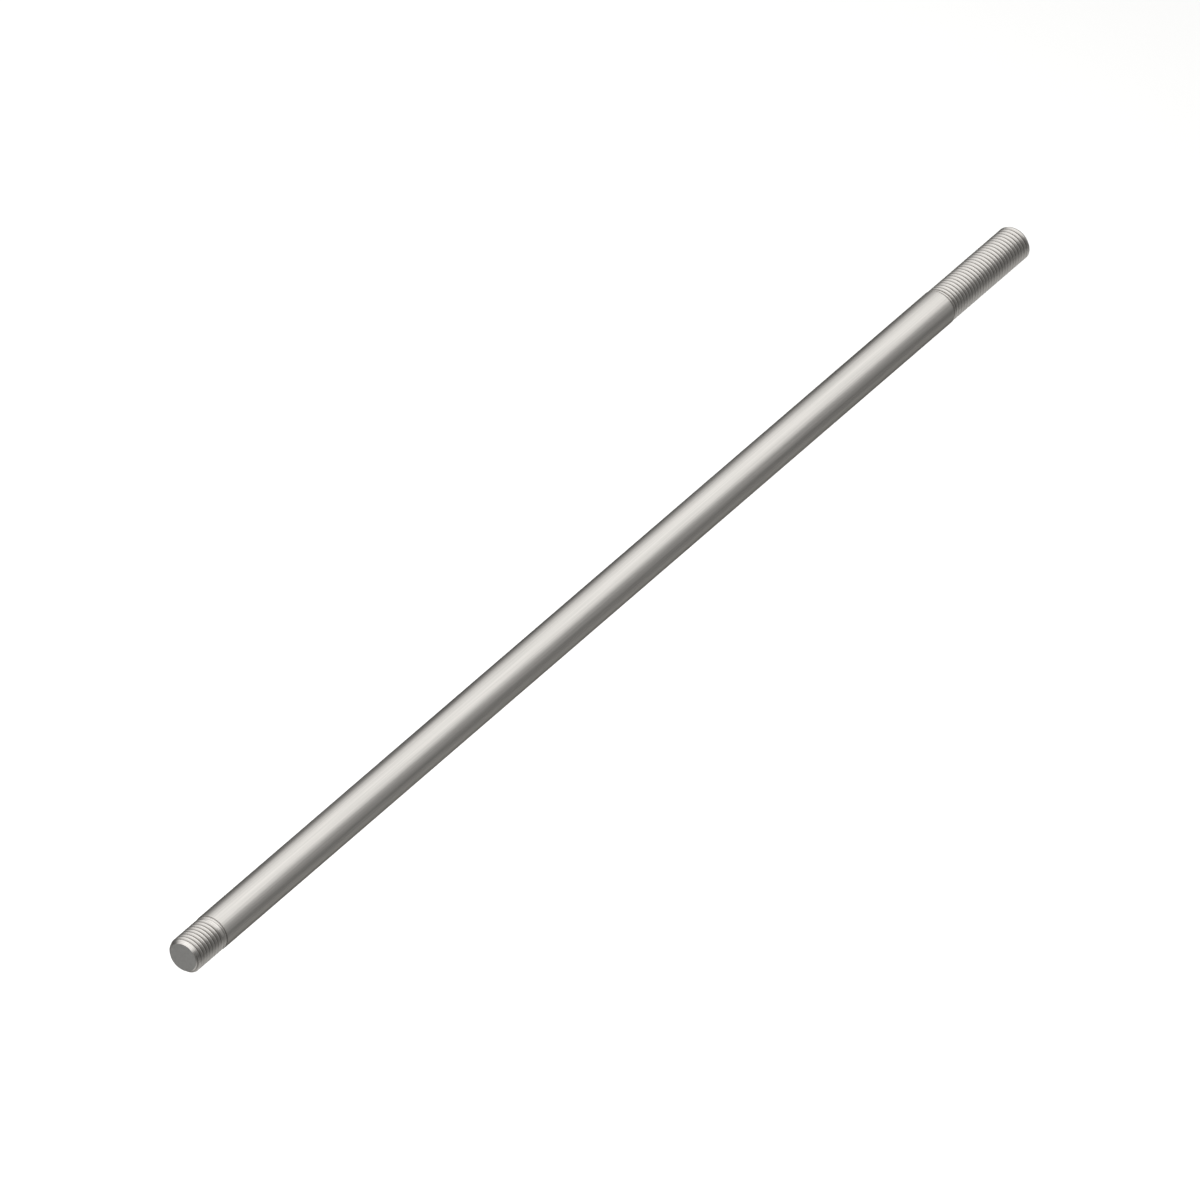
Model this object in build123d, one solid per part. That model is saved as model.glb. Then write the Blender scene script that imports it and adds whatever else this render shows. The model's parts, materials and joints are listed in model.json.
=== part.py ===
from build123d import *
import os

# A double-end stud: a plain round shank with a short thread that screws into a tapped hole
# and a long thread that takes the nut. It lies along X in millimetres, +Z up.
# The origin is on the axis at the short end's shoulder, where the stud seats.

overall_length = 600.0
shank_diameter = 16.0
thread_diameter = 15.69  # outside both threads, just inside the M16 6g limits of 15.682 and 15.962
tap_thread_length = 20.0  # 1.25 diameters, from the end face to the shoulder
nut_thread_length = 57.0  # 2 diameters and 25, from the end face to the shoulder
tap_chamfer = 1.5  # at 45 degrees
nut_chamfer = 1.5


def end_profile(face_x, shoulder_x, chamfer):
    """Outline of one threaded end, from the centre of its flat face to the shoulder."""
    inward = 1 if shoulder_x > face_x else -1
    radius = thread_diameter / 2
    return [
        (face_x, 0),
        (face_x, radius - chamfer),
        (face_x + inward * chamfer, radius),
        (shoulder_x, radius),
        (shoulder_x, shank_diameter / 2),
    ]


def half_section():
    """Half of the lengthwise section, above the axis, as one closed face in the XZ plane."""
    tap_shoulder_x = 0.0
    tap_face_x = tap_shoulder_x - tap_thread_length
    nut_face_x = tap_face_x + overall_length
    nut_shoulder_x = nut_face_x - nut_thread_length
    outline = end_profile(tap_face_x, tap_shoulder_x, tap_chamfer)
    outline += reversed(end_profile(nut_face_x, nut_shoulder_x, nut_chamfer))
    with BuildSketch(Plane.XZ) as section:
        with BuildLine():
            Polyline(outline, close=True)
        make_face()
    return section.sketch


def make_stud():
    """The stud as turned from one bar: its half section taken round the X axis."""
    return revolve(half_section(), Axis.X)


os.makedirs("parts", exist_ok=True)
export_step(make_stud(), "parts/stud.step")
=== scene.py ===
import json
import math

import bpy
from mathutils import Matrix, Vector


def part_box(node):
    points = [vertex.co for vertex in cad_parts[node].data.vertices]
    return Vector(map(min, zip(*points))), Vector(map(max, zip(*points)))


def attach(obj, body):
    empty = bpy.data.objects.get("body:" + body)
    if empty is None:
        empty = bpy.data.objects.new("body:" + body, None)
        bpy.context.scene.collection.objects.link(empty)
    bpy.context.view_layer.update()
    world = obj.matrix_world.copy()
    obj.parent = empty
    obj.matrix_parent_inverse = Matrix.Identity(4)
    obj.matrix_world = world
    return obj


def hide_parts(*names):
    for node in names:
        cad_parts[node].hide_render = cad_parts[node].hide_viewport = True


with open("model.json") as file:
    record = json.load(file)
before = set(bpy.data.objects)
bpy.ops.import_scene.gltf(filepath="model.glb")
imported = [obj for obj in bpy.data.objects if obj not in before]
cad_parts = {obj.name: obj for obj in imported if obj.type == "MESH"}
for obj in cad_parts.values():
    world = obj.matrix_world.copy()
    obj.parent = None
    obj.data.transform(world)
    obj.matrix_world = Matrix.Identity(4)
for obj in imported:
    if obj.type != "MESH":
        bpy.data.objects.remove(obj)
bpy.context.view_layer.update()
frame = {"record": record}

# A double-end threaded stud, M16 by 600, turned and threaded from a bright drawn steel bar.
# Lengths along the stud are worked out in millimetres on its axis, X, and leave as metres.

mm = 0.001
mounts = {mount["name"]: mount for mount in frame["record"]["mounts"]}
lowCorner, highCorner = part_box("stud")

tapFace = lowCorner.x / mm
nutFace = highCorner.x / mm
tapShoulder = mounts["tap_thread"]["pos_m"][0] / mm
nutShoulder = tapShoulder + mounts["shank"]["dims"]["length_mm"]
shankRadius = mounts["shank"]["dims"]["r_mm"]
crestRadius = mounts["tap_thread"]["dims"]["r_mm"]
tapChamfer = tapShoulder - tapFace - mounts["tap_thread"]["dims"]["length_mm"]
nutChamfer = nutFace - nutShoulder - mounts["nut_thread"]["dims"]["length_mm"]
print("end faces at", round(tapFace, 2), "and", round(nutFace, 2), "mm")

thread = {
    "pitch": 2.0,           # mm, the coarse pitch of M16, right-hand
    "pitchRadius": 7.33,    # mm, where ridge and groove are equally wide
    "flankAngle": 30,       # degrees each side, 60 between flanks
    "rootRadius": 0.28,     # mm, the rounded bottom that rolling leaves
    "cornerBreak": 0.045,   # mm taken off each corner of a crest
    "rootSteps": 3,         # pieces of arc from a flank to the bottom of the groove
    "runOut": 3.6,          # mm over which the groove rises to the surface at a shoulder
    "startLead": 0.44,      # mm that the ridges are moved along, which turns their start round the bar
    "spareTurns": 2,        # turns that the grid starts before an end, all trimmed away
}

studShape = {
    "columns": 120,         # points round the bar
    "sharpAngle": 35,       # degrees; edges that turn more than this stay crisp
    "edgeBreak": 0.06,      # mm off the shank's corner at each shoulder
    "strips": 4,            # the map holds the bar's skin as this many strips side by side
    "mapGap": 1.5,          # mm between strips
    "mapStep": 0.5,         # mm, the least width a narrow ring gets in the map
}


# one pitch of the thread from the middle of a crest, as distance along and radius
def threadOutline():
    pitch = thread["pitch"]
    slope = math.radians(thread["flankAngle"])
    halfCrest = pitch / 4 - (crestRadius - thread["pitchRadius"]) * math.tan(slope)
    cut = thread["cornerBreak"]
    arc = thread["rootRadius"]
    centre = thread["pitchRadius"] + 2 * arc - pitch / 4 / math.tan(slope)
    points = [(halfCrest - cut, crestRadius)]
    points.append((halfCrest + cut * math.sin(slope), crestRadius - cut * math.cos(slope)))
    for step in range(thread["rootSteps"] + 1):
        turn = (math.pi / 2 - slope) * (1 - step / thread["rootSteps"])
        points.append((pitch / 2 - arc * math.sin(turn), centre - arc * math.cos(turn)))
    return points + [(pitch - along, radius) for along, radius in reversed(points[:-1])]


# points past a slanted limit move onto it, and the outermost of them to where the outline crosses it
def trimToLimit(points, limit, side):
    past = [side * (radius - limit(along)) > 0 for along, radius in points]
    trimmed = list(points)
    for index, (along, radius) in enumerate(points):
        if not past[index]:
            continue
        trimmed[index] = (along, limit(along))
        for other in (index - 1, index + 1):
            if 0 <= other < len(points) and not past[other]:
                excess = radius - limit(along)
                lack = points[other][1] - limit(points[other][0])
                part = excess / (excess - lack)
                crossing = along + part * (points[other][0] - along)
                trimmed[index] = (crossing, limit(crossing))
    return trimmed, past


# the bar's skin is gathered here before it becomes a mesh
skin = {"points": [], "faces": [], "finish": []}
shankFinish, threadFinish, chamferFinish, endFinish = range(4)
circumference = 2 * math.pi * shankRadius


def addPoint(along, radius, turn):
    skin["points"].append((along * mm, radius * math.cos(turn) * mm, radius * math.sin(turn) * mm))
    return len(skin["points"]) - 1


def addRing(along, radius):
    columns = studShape["columns"]
    return [addPoint(along, radius, 2 * math.pi * column / columns) for column in range(columns)]


# a corner is a point and its place in the unrolled skin; corners that share a point merge
def addFace(corners, finish):
    kept = []
    for corner in corners:
        if not kept or kept[-1][0] != corner[0]:
            kept.append(corner)
    if len(kept) > 1 and kept[0][0] == kept[-1][0]:
        kept.pop()
    if len(kept) > 2:
        skin["faces"].append(kept)
        skin["finish"].append(finish)


def addBand(lowRing, highRing, lowAt, highAt, finish):
    columns = studShape["columns"]
    for column in range(columns):
        near, far = column, (column + 1) % columns
        low = column / columns
        high = (column + 1) / columns
        addFace([(lowRing[near], lowAt, low), (lowRing[far], lowAt, high),
                 (highRing[far], highAt, high), (highRing[near], highAt, low)], finish)


# one threaded end as a grid that winds round the bar, one pitch along for each turn
def addThread(low, high, face, chamfer, lowRing, highRing, unrolledFrom):
    pitch = thread["pitch"]
    columns = studShape["columns"]
    outline = threadOutline()
    knots = len(outline)
    rows = knots * (math.ceil((high - low) / pitch) + thread["spareTurns"] + 1)
    shoulder = low if face == high else high
    depth = crestRadius - min(radius for along, radius in outline)

    def chamferLimit(along):
        return crestRadius - chamfer + abs(along - face)

    def runOutLimit(along):
        return crestRadius - depth * abs(along - shoulder) / thread["runOut"]

    grid = []
    for column in range(columns):
        start = low - pitch * thread["spareTurns"] + pitch * column / columns + thread["startLead"]
        points = [(start + pitch * (row // knots) + outline[row % knots][0], outline[row % knots][1])
                  for row in range(rows)]
        points, onRunOut = trimToLimit(points, runOutLimit, -1)
        points, onChamfer = trimToLimit(points, chamferLimit, 1)
        turn = 2 * math.pi * column / columns
        cells = []
        length = 0.0
        last = (low, crestRadius - chamfer if face == low else crestRadius)
        for (along, radius), turned, raised in zip(points, onChamfer, onRunOut):
            if along <= low:
                cells.append([lowRing[column], 0.0, face == low, True])
                continue
            if along >= high:
                along = high
                radius = crestRadius - chamfer if face == high else crestRadius
                point = highRing[column]
                turned = face == high
                raised = True
            else:
                point = addPoint(along, radius, turn)
            length += math.hypot(along - last[0], radius - last[1])
            last = (along, radius)
            cells.append([point, length, turned, turned or raised])
        grid.append(cells)
    meanLength = sum(cells[-1][1] for cells in grid) / columns
    for cells in grid:
        scale = meanLength / cells[-1][1]
        for cell in cells:
            cell[1] = unrolledFrom + cell[1] * scale

    for column in range(columns):
        here = grid[column]
        there = grid[(column + 1) % columns]
        shift = knots if column == columns - 1 else 0
        for row in range(rows - 1 - shift):
            cells = [here[row], there[row + shift], there[row + 1 + shift], here[row + 1]]
            rounds = [column, column + 1, column + 1, column]
            trimmed = [cell[3] for cell in cells]
            parts = [(0, 1, 2, 3)]
            if sum(trimmed) == 3:
                apart = trimmed.index(False)  # cut off, so that a trimmed edge runs straight on
                after = (apart + 1) % 4
                parts = [(apart - 1, apart, after), (after, (apart + 2) % 4, apart - 1)]
            for part in parts:
                finish = chamferFinish if all(cells[number][2] for number in part) else threadFinish
                addFace([(cells[number][0], cells[number][1], rounds[number] / columns) for number in part],
                        finish)
    return unrolledFrom + meanLength


def addEnd(ring, centreAt, outward):
    columns = studShape["columns"]
    radius = crestRadius - (tapChamfer if outward < 0 else nutChamfer)
    corners = []
    for column in range(columns):
        turn = 2 * math.pi * column / columns
        corners.append((ring[column], centreAt, (radius * math.cos(turn), radius * math.sin(turn))))
    skin["faces"].append(corners if outward > 0 else corners[::-1])
    skin["finish"].append(endFinish)


def makeStud():
    step = studShape["mapStep"]
    cut = studShape["edgeBreak"]
    tapEnd = addRing(tapFace, crestRadius - tapChamfer)
    tapFoot = addRing(tapShoulder, crestRadius)
    tapCorner = addRing(tapShoulder, shankRadius - cut)
    shankStart = addRing(tapShoulder + cut, shankRadius)
    shankEnd = addRing(nutShoulder - cut, shankRadius)
    nutCorner = addRing(nutShoulder, shankRadius - cut)
    nutFoot = addRing(nutShoulder, crestRadius)
    nutEnd = addRing(nutFace, crestRadius - nutChamfer)

    at = addThread(tapFace, tapShoulder, tapFace, tapChamfer, tapEnd, tapFoot, 0.0)
    addBand(tapFoot, tapCorner, at, at + step, threadFinish)
    addBand(tapCorner, shankStart, at + step, at + 2 * step, shankFinish)
    at += 2 * step
    shankAt = at
    nutAt = at + nutShoulder - tapShoulder - 2 * cut
    addBand(shankEnd, nutCorner, nutAt, nutAt + step, shankFinish)
    addBand(nutCorner, nutFoot, nutAt + step, nutAt + 2 * step, threadFinish)
    total = addThread(nutShoulder, nutFace, nutFace, nutChamfer, nutFoot, nutEnd, nutAt + 2 * step)

    # the shank is cut where one strip of the map ends and the next begins
    strip = total / studShape["strips"]
    lastRing = shankStart
    lastAt = shankAt
    for number in range(1, studShape["strips"]):
        ringAt = strip * number
        ring = addRing(tapShoulder + cut + ringAt - shankAt, shankRadius)
        addBand(lastRing, ring, lastAt, ringAt, shankFinish)
        lastRing = ring
        lastAt = ringAt
    addBand(lastRing, shankEnd, lastAt, nutAt, shankFinish)

    gap = studShape["mapGap"]
    addEnd(tapEnd, 0, -1)
    addEnd(nutEnd, 1, 1)
    side = max(studShape["strips"] * (circumference + gap) + gap, strip + 2 * crestRadius + 3 * gap)

    mesh = bpy.data.meshes.new("threadedStud")
    mesh.from_pydata(skin["points"], [], [[corner[0] for corner in face] for face in skin["faces"]])
    unrolled = mesh.uv_layers.new(name="OFBake")
    places = []
    for face in skin["faces"]:
        if isinstance(face[0][2], tuple):
            across = strip + 2 * gap + crestRadius
            up = gap + crestRadius + face[0][1] * (2 * crestRadius + gap)
            places += [((across + place[0]) / side, (up + place[1]) / side) for point, end, place in face]
            continue
        middle = sum(at for point, at, part in face) / len(face)
        number = min(int(middle / strip), studShape["strips"] - 1)
        rise = gap + number * (circumference + gap)
        places += [((gap + at - number * strip) / side, (rise + part * circumference) / side)
                   for point, at, part in face]
    unrolled.data.foreach_set("uv", [number for place in places for number in place])
    mesh.polygons.foreach_set("material_index", skin["finish"])
    mesh.shade_smooth()
    mesh.set_sharp_from_angle(angle=math.radians(studShape["sharpAngle"]))
    mesh.validate()
    piece = bpy.data.objects.new("threadedStud", mesh)
    bpy.context.scene.collection.objects.link(piece)
    even = piece.modifiers.new("evenShading", "WEIGHTED_NORMAL")
    even.keep_sharp = True
    print("stud:", len(mesh.vertices), "points,", len(mesh.polygons), "faces")
    return piece


def linearColour(hexColour):
    parts = [int(hexColour[start:start + 2], 16) / 255 for start in (1, 3, 5)]
    linear = [part / 12.92 if part <= 0.04045 else ((part + 0.055) / 1.055) ** 2.4 for part in parts]
    return (*linear, 1.0)


# adds a node, sets what is given and links the inputs that are given as sockets
def addNode(tree, kind, inputs=None, **settings):
    node = tree.nodes.new(kind)
    for name, value in settings.items():
        setattr(node, name, value)
    for name, value in (inputs or {}).items():
        if isinstance(value, bpy.types.NodeSocket):
            tree.links.new(value, node.inputs[name])
        else:
            node.inputs[name].default_value = value
    return node


def newMaterial(name):
    material = bpy.data.materials.new(name)
    material.use_nodes = True
    material.node_tree.nodes.clear()
    return material, material.node_tree


steel = {
    "colour": "#B9B6B2",        # bright carbon steel, a little warm
    "lineColour": "#AFADA9",    # the dull floor of a draw line
    "highlightChamferColour": "#C8C5C1", # the chamfers, painted brighter than the bar as a highlight
    "shadedEndColour": "#A1A09E",     # the faced ends, which scatter more light, painted darker than the bar as shade
    "shadedEndRingColour": "#989795", # between the tool's marks there, likewise painted darker as shade
    "grooveShadeColour": "#797672",    # painted shade at the bottom of the groove and in the corner at each shoulder
    "edgeTint": "#3F3F3F",      # dulls the pale rim that clean metal shows edge on
    "roughness": 0.39,
    "roughSpread": 0.035,       # either way, from patch to patch
    "crestRoughness": 0.345,
    "rootRoughness": 0.545,
    "chamferRoughness": 0.3,
    "endRoughness": 0.5,
    "turnedSpread": 0.06,       # either way on the chamfers and ends
    "lineWidth": 0.5,           # mm; the real ones are about 0.1, too fine to show
    "lineLength": 60,           # mm
    "lineDepth": 0.003,         # mm
    "lineRange": (0.35, 0.65),  # the part of the noise, from 0 to 1, that the lines are drawn from
    "patchWidth": 3.33,         # mm round the bar, of the patches where its polish varies
    "patchLength": 125,         # mm
    "patchRange": (0.3, 0.7),   # the part of the noise that the patches and the tool's marks use
    "grain": 0.45,              # mm, the fine unevenness of the thread
    "grainDepth": 0.003,        # mm
    "grooveShadeRadii": (6.8, 7.5),     # mm from the axis where the groove's painted shade starts to thin, and where it ends
    "cornerShadeSpan": (0.2, 0.7),   # mm from a shoulder, where the painted shade in its corner starts to thin, and where it ends
    "shadeEdge": 0.35,           # how ragged the painted shade's edge is, from 0 to 1
    "turningPitch": 0.45,       # mm; the real feed is about 0.15, too fine to show
    "turningDepth": 0.01,       # mm
    "turningGrain": 1.1,        # mm between places where the tool's marks wander
    "turningSway": 2.0,         # radians that they wander by, where a turn is one pitch
}


# texture scale for marks of this length along the bar and width round it, in mm
def markScale(length, width):
    return (1 / (length * mm), 1 / (width * mm), 1 / (width * mm))


# bright drawn carbon steel: the die leaves fine straight lines along the bar,
# which spread a reflection round the bar and keep it clean along it
def brightDrawnSteel():
    material, tree = newMaterial("brightDrawnSteel")
    place = addNode(tree, "ShaderNodeTexCoord").outputs["Object"]
    lines = addNode(tree, "ShaderNodeMapping", {
        "Vector": place, "Scale": markScale(steel["lineLength"], steel["lineWidth"])})
    drawn = addNode(tree, "ShaderNodeTexNoise", {"Vector": lines.outputs[0], "Scale": 1.0, "Detail": 3.0})
    wide = addNode(tree, "ShaderNodeMapping", {
        "Vector": place, "Scale": markScale(steel["patchLength"], steel["patchWidth"])})
    patches = addNode(tree, "ShaderNodeTexNoise", {"Vector": wide.outputs[0], "Scale": 1.0, "Detail": 2.0})
    amount = addNode(tree, "ShaderNodeMapRange", {
        "Value": drawn.outputs[0], "From Min": steel["lineRange"][0], "From Max": steel["lineRange"][1]})
    colour = addNode(tree, "ShaderNodeMix", {
        0: amount.outputs[0], 6: linearColour(steel["lineColour"]), 7: linearColour(steel["colour"])},
        data_type="RGBA")
    rough = addNode(tree, "ShaderNodeMapRange", {
        "Value": patches.outputs[0], "From Min": steel["patchRange"][0], "From Max": steel["patchRange"][1],
        "To Min": steel["roughness"] - steel["roughSpread"],
        "To Max": steel["roughness"] + steel["roughSpread"]})
    bump = addNode(tree, "ShaderNodeBump", {
        "Height": drawn.outputs[0], "Strength": 1.0, "Distance": steel["lineDepth"] * mm})
    shader = addNode(tree, "ShaderNodeBsdfPrincipled", {
        "Base Color": colour.outputs[2], "Metallic": 1.0, "Roughness": rough.outputs[0],
        "Specular Tint": linearColour(steel["edgeTint"]), "Normal": bump.outputs[0]})
    addNode(tree, "ShaderNodeOutputMaterial", {"Surface": shader.outputs[0]})
    return material


# rolled thread: the dies burnish the flanks and crests, and painted shade darkens the bottom of the groove
# and the corner at the shoulder
def rolledThreadSteel():
    material, tree = newMaterial("rolledThreadSteel")
    place = addNode(tree, "ShaderNodeTexCoord").outputs["Object"]
    across = addNode(tree, "ShaderNodeVectorMath", {0: place, 1: (0, 1, 1)}, operation="MULTIPLY")
    radius = addNode(tree, "ShaderNodeVectorMath", {0: across.outputs[0]}, operation="LENGTH")
    # painted shade: the groove goes darker towards its bottom
    height = addNode(tree, "ShaderNodeMapRange", {
        "Value": radius.outputs["Value"], "From Min": steel["grooveShadeRadii"][0] * mm,
        "From Max": steel["grooveShadeRadii"][1] * mm})
    fine = addNode(tree, "ShaderNodeTexNoise", {
        "Vector": place, "Scale": 1 / (steel["grain"] * mm), "Detail": 3.0})
    uneven = addNode(tree, "ShaderNodeMath", {
        0: fine.outputs[0], 1: steel["shadeEdge"]}, operation="MULTIPLY")
    parts = addNode(tree, "ShaderNodeSeparateXYZ", {0: place})
    fromMiddle = addNode(tree, "ShaderNodeMath", {
        0: parts.outputs["X"], 1: (tapShoulder + nutShoulder) / 2 * mm}, operation="SUBTRACT")
    eitherWay = addNode(tree, "ShaderNodeMath", {0: fromMiddle.outputs[0]}, operation="ABSOLUTE")
    halfShank = (nutShoulder - tapShoulder) / 2
    # painted shade in the corner at each shoulder
    corner = addNode(tree, "ShaderNodeMapRange", {
        "Value": eitherWay.outputs[0], "From Min": (halfShank + steel["cornerShadeSpan"][0]) * mm,
        "From Max": (halfShank + steel["cornerShadeSpan"][1]) * mm})
    grooveUnshaded = addNode(tree, "ShaderNodeMath", {
        0: height.outputs[0], 1: uneven.outputs[0]}, operation="ADD", use_clamp=True)
    unshaded = addNode(tree, "ShaderNodeMath", {
        0: grooveUnshaded.outputs[0], 1: corner.outputs[0]}, operation="MULTIPLY")
    # painted shade: the colour goes darker towards the bottom of the groove and into the corner at each
    # shoulder
    colour = addNode(tree, "ShaderNodeMix", {
        0: unshaded.outputs[0], 6: linearColour(steel["grooveShadeColour"]), 7: linearColour(steel["colour"])},
        data_type="RGBA")
    rough = addNode(tree, "ShaderNodeMapRange", {
        "Value": unshaded.outputs[0], "To Min": steel["rootRoughness"], "To Max": steel["crestRoughness"]})
    bump = addNode(tree, "ShaderNodeBump", {
        "Height": fine.outputs[0], "Strength": 1.0, "Distance": steel["grainDepth"] * mm})
    shader = addNode(tree, "ShaderNodeBsdfPrincipled", {
        "Base Color": colour.outputs[2], "Metallic": 1.0, "Roughness": rough.outputs[0],
        "Specular Tint": linearColour(steel["edgeTint"]), "Normal": bump.outputs[0]})
    addNode(tree, "ShaderNodeOutputMaterial", {"Surface": shader.outputs[0]})
    return material


# turned on a lathe: the tool leaves fine rings about the axis, which blur a reflection outwards from it
def turnedSteel(name, ringColour, colour, roughness):
    material, tree = newMaterial(name)
    place = addNode(tree, "ShaderNodeTexCoord").outputs["Object"]
    across = addNode(tree, "ShaderNodeVectorMath", {0: place, 1: (0, 1, 1)}, operation="MULTIPLY")
    radius = addNode(tree, "ShaderNodeVectorMath", {0: across.outputs[0]}, operation="LENGTH")
    rounds = 2 * math.pi / (steel["turningPitch"] * mm)
    fine = addNode(tree, "ShaderNodeTexNoise", {
        "Vector": place, "Scale": 1 / (steel["turningGrain"] * mm), "Detail": 4.0})
    sway = addNode(tree, "ShaderNodeMath", {
        0: fine.outputs[0], 1: steel["turningSway"]}, operation="MULTIPLY")
    angle = addNode(tree, "ShaderNodeMath", {
        0: radius.outputs["Value"], 1: rounds, 2: sway.outputs[0]}, operation="MULTIPLY_ADD")
    rings = addNode(tree, "ShaderNodeMath", {0: angle.outputs[0]}, operation="SINE")
    amount = addNode(tree, "ShaderNodeMapRange", {"Value": rings.outputs[0], "From Min": -1.0})
    mixed = addNode(tree, "ShaderNodeMix", {
        0: amount.outputs[0], 6: linearColour(ringColour), 7: linearColour(colour)},
        data_type="RGBA")
    bump = addNode(tree, "ShaderNodeBump", {
        "Height": amount.outputs[0], "Strength": 1.0, "Distance": steel["turningDepth"] * mm})
    rough = addNode(tree, "ShaderNodeMapRange", {
        "Value": fine.outputs[0], "From Min": steel["patchRange"][0], "From Max": steel["patchRange"][1],
        "To Min": roughness - steel["turnedSpread"], "To Max": roughness + steel["turnedSpread"]})
    shader = addNode(tree, "ShaderNodeBsdfPrincipled", {
        "Base Color": mixed.outputs[2], "Metallic": 1.0, "Roughness": rough.outputs[0],
        "Specular Tint": linearColour(steel["edgeTint"]), "Normal": bump.outputs[0]})
    addNode(tree, "ShaderNodeOutputMaterial", {"Surface": shader.outputs[0]})
    return material


# the chamfers, cut at a light feed, are shinier, and painted brighter than the bar as a highlight
def chamferedSteel():
    return turnedSteel("chamferedSteel", steel["colour"], steel["highlightChamferColour"], steel["chamferRoughness"])


# the end faces, parted off and faced, are rougher, and painted darker than the bar as shade
def facedSteel():
    return turnedSteel("facedSteel", steel["shadedEndRingColour"], steel["shadedEndColour"], steel["endRoughness"])


threadedStud = makeStud()
for finish in (brightDrawnSteel(), rolledThreadSteel(), chamferedSteel(), facedSteel()):
    threadedStud.data.materials.append(finish)
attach(threadedStud, "root")
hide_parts("stud")
print("finishes on")

studio = {
    "floorDrop": 820,           # mm from the stud's axis down to the floor
    "floorColour": "#F2F2F1",
    "floorPatch": 170,          # mm, of the roller's marks in the paint
    "floorRoughness": (0.85, 1.0),
    "floorSize": 120,           # m, so that it fills the background from every side
    "boxHeight": 350,           # mm above the axis
    "boxStart": -1250,          # mm along the stud
    "boxEnd": 2200,             # mm along it, further past the far end, where the view goes on
    "boxNearEdge": -460,        # mm across it, on the side that the camera looks from
    "boxFarEdge": 1980,         # mm across it, on the other side
    "boxSpread": 152,           # degrees; a cloth grid keeps its light off the walls
    "boxLight": 1.48,           # brightness of its cloth, where 1 is white
    "panelAway": 3550,          # mm from the axis to a dim upright panel on the near side
    "panelStart": 0,            # mm along the stud
    "panelEnd": 6000,           # mm along it
    "panelFoot": -360,          # mm above the axis
    "panelTop": 2300,           # mm above the axis
    "panelLight": 0.33,         # brightness of the panel
    "roomColour": "#FFFFFF",
    "roomLight": 0.165,         # brightness of the studio round it all
}


# a pale painted floor, matt, with a trace of unevenness in the paint
def makeFloor():
    half = studio["floorSize"] / 2
    level = -studio["floorDrop"] * mm
    mesh = bpy.data.meshes.new("paleFloor")
    mesh.from_pydata([(-half, -half, level), (half, -half, level), (half, half, level), (-half, half, level)],
                     [], [(0, 1, 2, 3)])
    floor = bpy.data.objects.new("paleFloor", mesh)
    bpy.context.scene.collection.objects.link(floor)
    material, tree = newMaterial("mattWhitePaint")
    place = addNode(tree, "ShaderNodeTexCoord").outputs["Object"]
    uneven = addNode(tree, "ShaderNodeTexNoise", {
        "Vector": place, "Scale": 1 / (studio["floorPatch"] * mm), "Detail": 2.0})
    rough = addNode(tree, "ShaderNodeMapRange", {
        "Value": uneven.outputs[0], "To Min": studio["floorRoughness"][0],
        "To Max": studio["floorRoughness"][1]})
    shader = addNode(tree, "ShaderNodeBsdfPrincipled", {
        "Base Color": linearColour(studio["floorColour"]), "Roughness": rough.outputs[0],
        "Specular IOR Level": 0.0})
    addNode(tree, "ShaderNodeOutputMaterial", {"Surface": shader.outputs[0]})
    mesh.materials.append(material)


# a soft light of even brightness, level and facing down unless it is turned up about X
def addSoftLight(name, centre, length, width, light, turn=0):
    soft = bpy.data.lights.new(name, "AREA")
    soft.shape = "RECTANGLE"
    soft.size = length * mm
    soft.size_y = width * mm
    soft.energy = light * math.pi * length * width * mm * mm
    lamp = bpy.data.objects.new(name, soft)
    lamp.location = Vector(centre) * mm
    lamp.rotation_euler.x = math.radians(turn)
    bpy.context.scene.collection.objects.link(lamp)
    return soft


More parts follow.
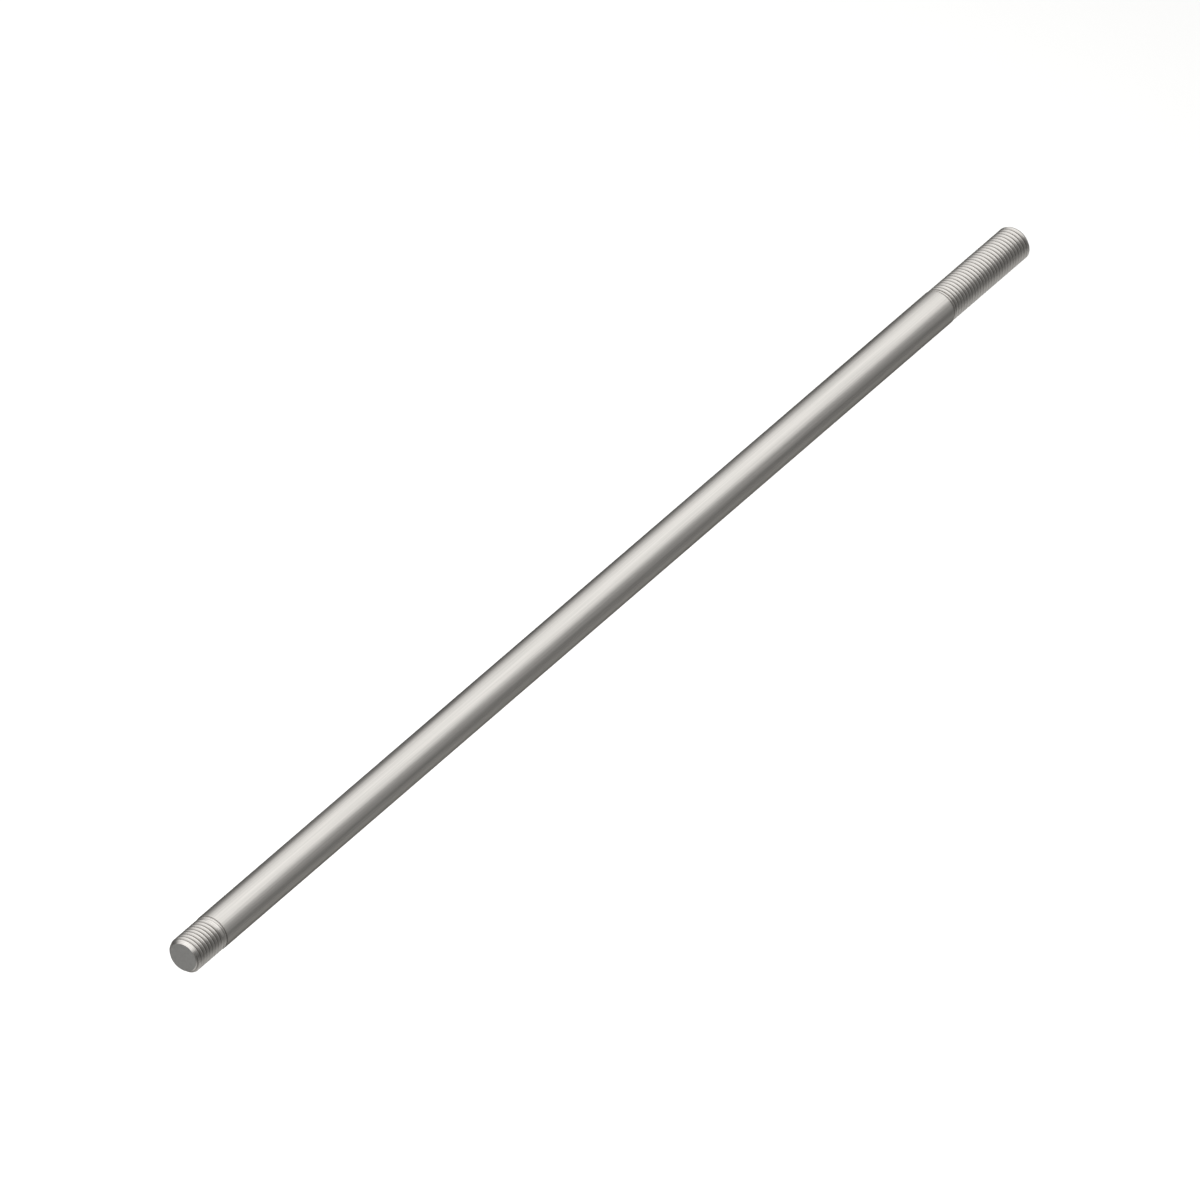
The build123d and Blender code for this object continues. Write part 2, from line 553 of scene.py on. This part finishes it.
# a wide box close above the stud lights its top, and a dim panel and dim walls leave its foot dark
def makeLights():
    boxMiddle = [(studio["boxStart"] + studio["boxEnd"]) / 2,
                 (studio["boxNearEdge"] + studio["boxFarEdge"]) / 2, studio["boxHeight"]]
    box = addSoftLight("overheadBox", boxMiddle, studio["boxEnd"] - studio["boxStart"],
                       studio["boxFarEdge"] - studio["boxNearEdge"], studio["boxLight"])
    box.spread = math.radians(studio["boxSpread"])
    panelMiddle = [(studio["panelStart"] + studio["panelEnd"]) / 2, -studio["panelAway"],
                   (studio["panelFoot"] + studio["panelTop"]) / 2]
    addSoftLight("nearPanel", panelMiddle, studio["panelEnd"] - studio["panelStart"],
                 studio["panelTop"] - studio["panelFoot"], studio["panelLight"], turn=90)

    world = bpy.data.worlds.new("softStudio")
    bpy.context.scene.world = world
    world.use_nodes = True
    tree = world.node_tree
    tree.nodes.clear()
    room = addNode(tree, "ShaderNodeBackground", {
        "Color": linearColour(studio["roomColour"]), "Strength": studio["roomLight"]})
    addNode(tree, "ShaderNodeOutputWorld", {"Surface": room.outputs[0]})


view = {
    "azimuth": -55.71,      # degrees, as the camera goes round the stud
    "elevation": 35.9,      # degrees above level
    "distance": 16.236,     # m, far off with a long lens, so the bar hardly tapers
    "lens": 1200,           # mm
    "sensor": 36,           # mm wide
    "nearest": 0.1,         # m, closer than which nothing shows
    "furthest": 200,        # m, past the floor's far edge
    "aimAlong": 276.75,     # mm from the tap shoulder
    "aimBelow": 0.566,      # mm under the axis
}


def makeCamera():
    around = math.radians(view["azimuth"])
    up = math.radians(view["elevation"])
    back = Vector((math.sin(around) * math.cos(up), -math.cos(around) * math.cos(up), math.sin(up)))
    aim = Vector(((tapShoulder + view["aimAlong"]) * mm, 0.0, -view["aimBelow"] * mm))
    data = bpy.data.cameras.new("camera")
    data.lens = view["lens"]
    data.sensor_width = view["sensor"]
    data.clip_start = view["nearest"]
    data.clip_end = view["furthest"]
    camera = bpy.data.objects.new("camera", data)
    camera.location = aim + back * view["distance"]
    camera.rotation_mode = "QUATERNION"
    camera.rotation_quaternion = (-back).to_track_quat("-Z", "Y")
    bpy.context.scene.collection.objects.link(camera)
    bpy.context.scene.camera = camera


makeFloor()
makeLights()
makeCamera()
bpy.context.scene.view_settings.view_transform = "Standard"
print("stage, lights and camera set")
